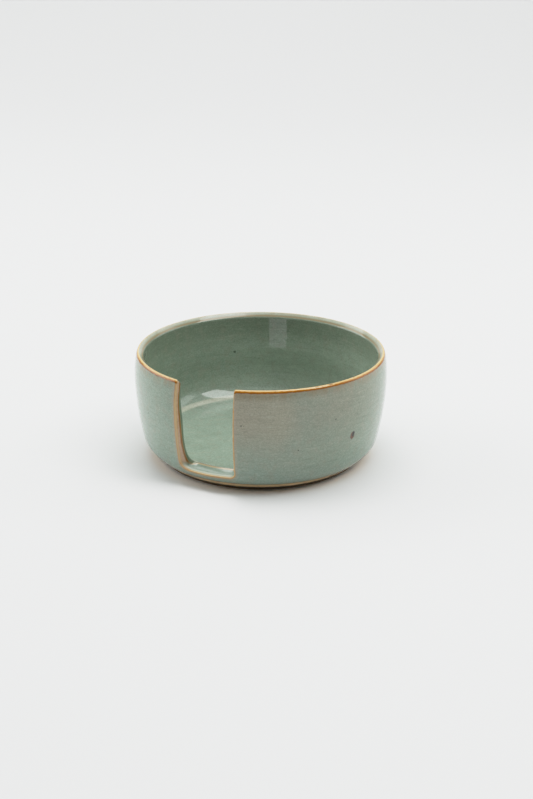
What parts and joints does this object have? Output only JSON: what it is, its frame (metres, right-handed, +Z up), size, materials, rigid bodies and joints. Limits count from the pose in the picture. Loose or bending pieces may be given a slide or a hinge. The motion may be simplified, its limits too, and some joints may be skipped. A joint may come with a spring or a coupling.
{
  "type": "yarn bowl",
  "caption": "Round glazed stoneware yarn bowl with a bevelled rim, a turned foot and a straight-sided notch cut down to the floor for the yarn.",
  "frame": {"origin": "middle of the foot ring, on the surface that the bowl stands on", "axes": "+Z up along the axis that the bowl was turned about; the notch faces -Y"},
  "size_m": [0.15, 0.1479, 0.065],
  "materials": {
    "stoneware": "bare fired stoneware, fine grained and matte",
    "celadon_outside": "glossy grey-green celadon glaze, buff where it is thin, iron-brown along the rim",
    "celadon_rim": "glossy thin celadon glaze, breaking to amber along both edges",
    "celadon_inside": "glossy green celadon glaze, thicker and bluer on the floor",
    "celadon_notch": "glossy thin glaze over the cut faces, buff on the sides, green on the sill, amber along its edges"
  },
  "bodies": {
    "root": {"clay_body": "stoneware", "outer_glaze": "celadon_outside", "rim_glaze": "celadon_rim", "inner_glaze": "celadon_inside", "notch_glaze": "celadon_notch"}
  },
  "joints": []
}
